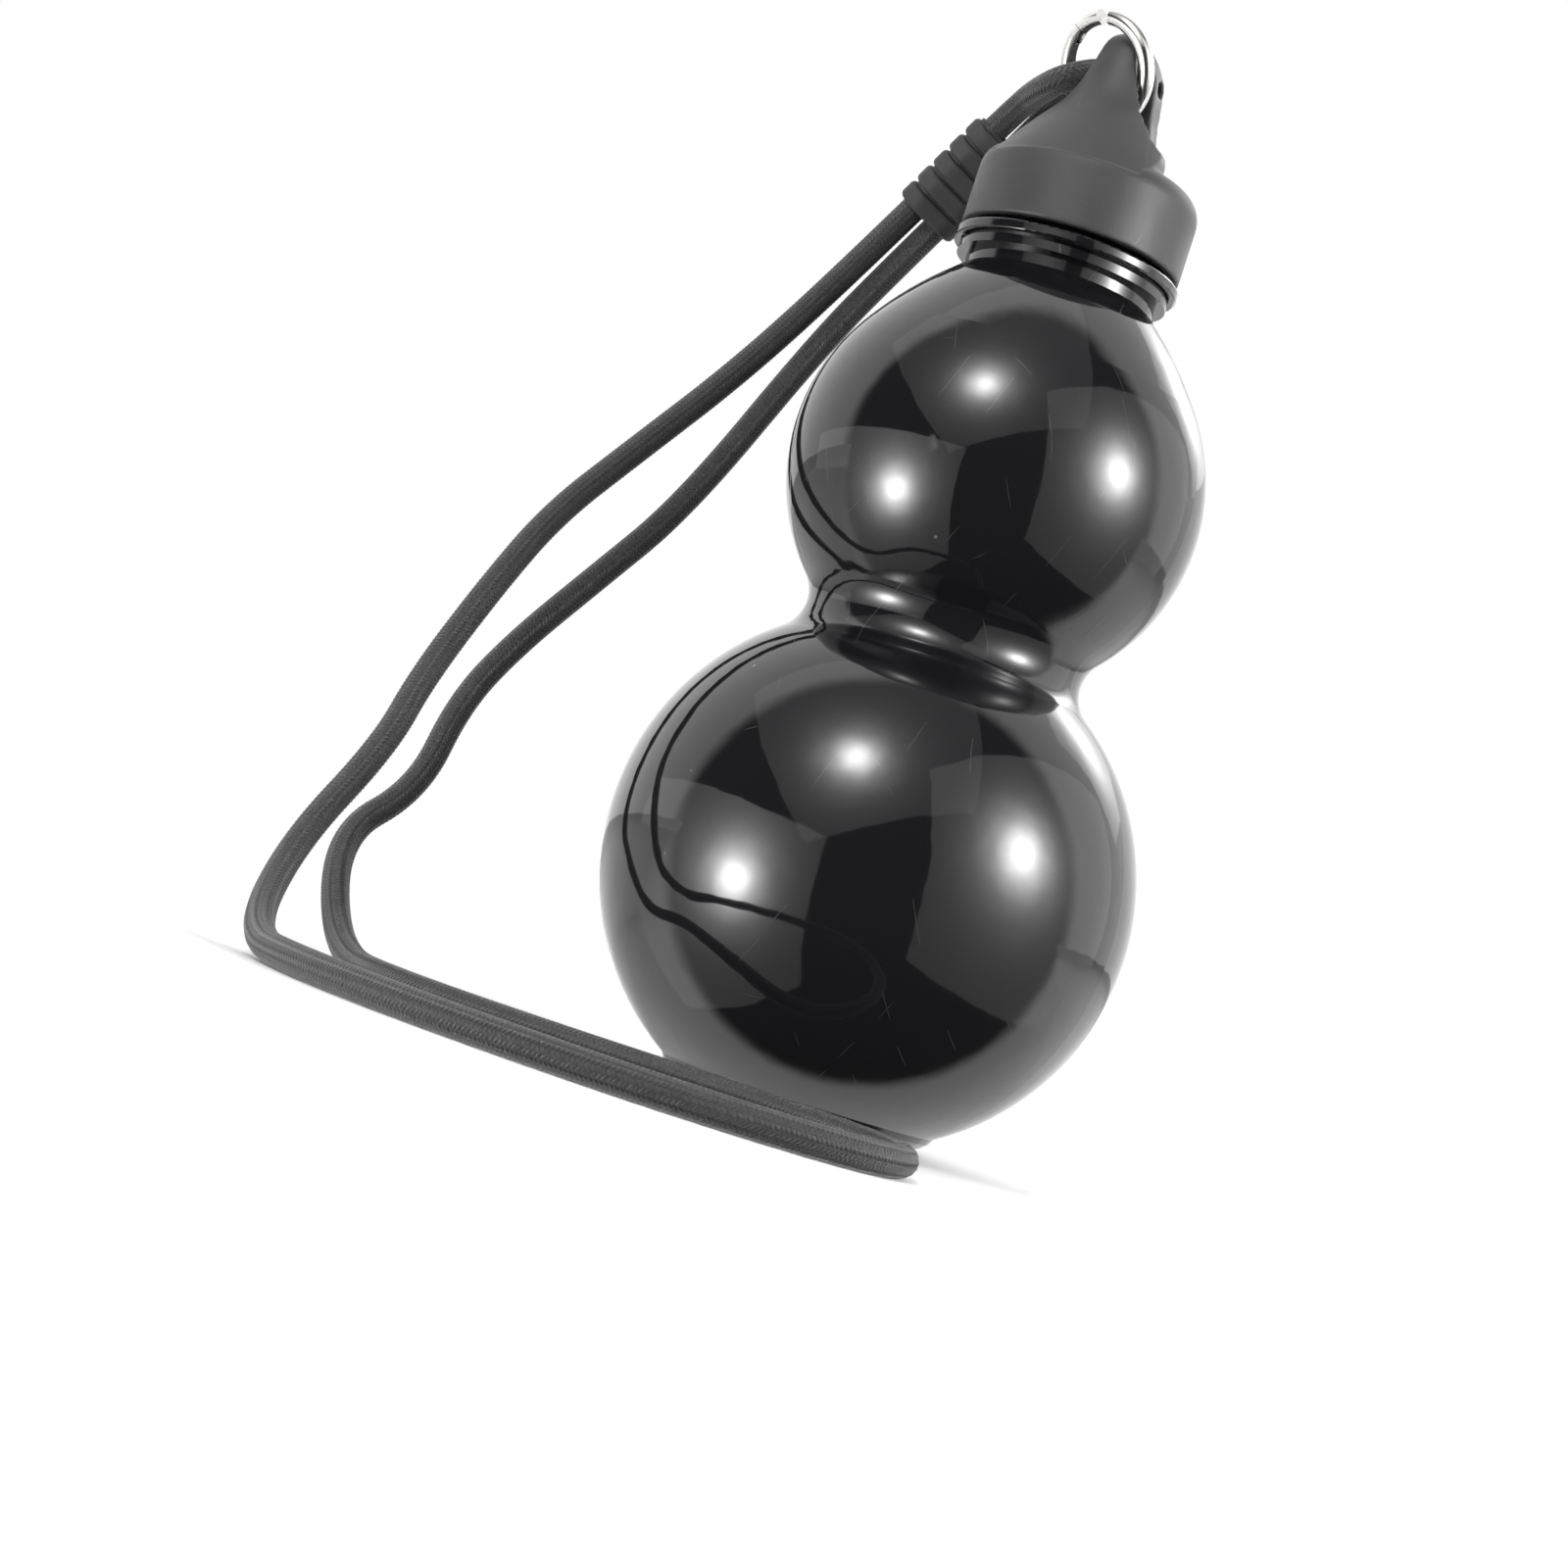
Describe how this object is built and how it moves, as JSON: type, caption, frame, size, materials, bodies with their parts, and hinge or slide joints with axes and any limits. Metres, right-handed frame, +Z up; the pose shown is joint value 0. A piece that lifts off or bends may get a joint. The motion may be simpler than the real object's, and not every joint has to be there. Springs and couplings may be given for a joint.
{
  "type": "water bottle",
  "caption": "Gourd-shaped water bottle with a screw cap, a moulded carrying loop, a snap ring and a braided cord loop held by a ribbed stopper.",
  "frame": {"origin": "centre of the bottle's base, on the plane it stands on", "axes": "+Z up along the bottle's axis, +Y from the tongue of the cap's loop towards its rear post, cord hanging on the -X side"},
  "size_m": [0.1641, 0.1778, 0.2379],
  "materials": {
    "bottle_shell": "high gloss",
    "cap_plastic": "fine matt texture",
    "gasket_rubber": "smooth silicone",
    "ring_metal": "bright nickel plate",
    "pin_metal": "bright nickel plate",
    "spring_steel": "plain steel",
    "stopper_rubber": "matt",
    "cord_braid": "woven braid"
  },
  "bodies": {
    "bottle": {"bottle_body": "bottle_shell"},
    "seal": {"cap_gasket": "gasket_rubber"},
    "cap_body": {"cap": "cap_plastic"},
    "ring_body": {"snap_ring": "ring_metal", "gate_pin": "pin_metal", "gate_spring": "spring_steel", "lanyard_cord": "cord_braid"},
    "gate_body": {"ring_gate": "ring_metal"},
    "stopper_body": {"cord_stopper": "stopper_rubber"}
  },
  "joints": [
    {"name": "cap_lift", "type": "slide", "parent": "bottle", "child": "seal", "axis": [0, 0, 1], "range_m": [0, 0.016]},
    {"name": "cap_turn", "type": "hinge", "parent": "seal", "child": "cap_body", "pos_m": [0, 0, 0.2022], "axis": [0, 0, 1], "range_deg": [0, 1440]},
    {"name": "ring_swing", "type": "hinge", "parent": "cap_body", "child": "ring_body", "pos_m": [0.0021, -0.0062, 0.2289], "axis": [0, 0, 1], "range_deg": [0, 30]},
    {"name": "gate_hinge", "type": "hinge", "parent": "ring_body", "child": "gate_body", "pos_m": [-0.0122, -0.00417, 0.23294], "axis": [0.2589, 0.8228, 0.5059], "range_deg": [0, 16], "stiffness_Nm_per_rad": 0.002},
    {"name": "stopper_slide", "type": "slide", "parent": "ring_body", "child": "stopper_body", "axis": [0.5919, -0.1244, 0.7964], "range_m": [-0.004, 0.0025]}
  ],
  "couplings": [
    {"joint": "cap_turn", "follows": "cap_lift", "rad_per_m": 1570.8}
  ]
}
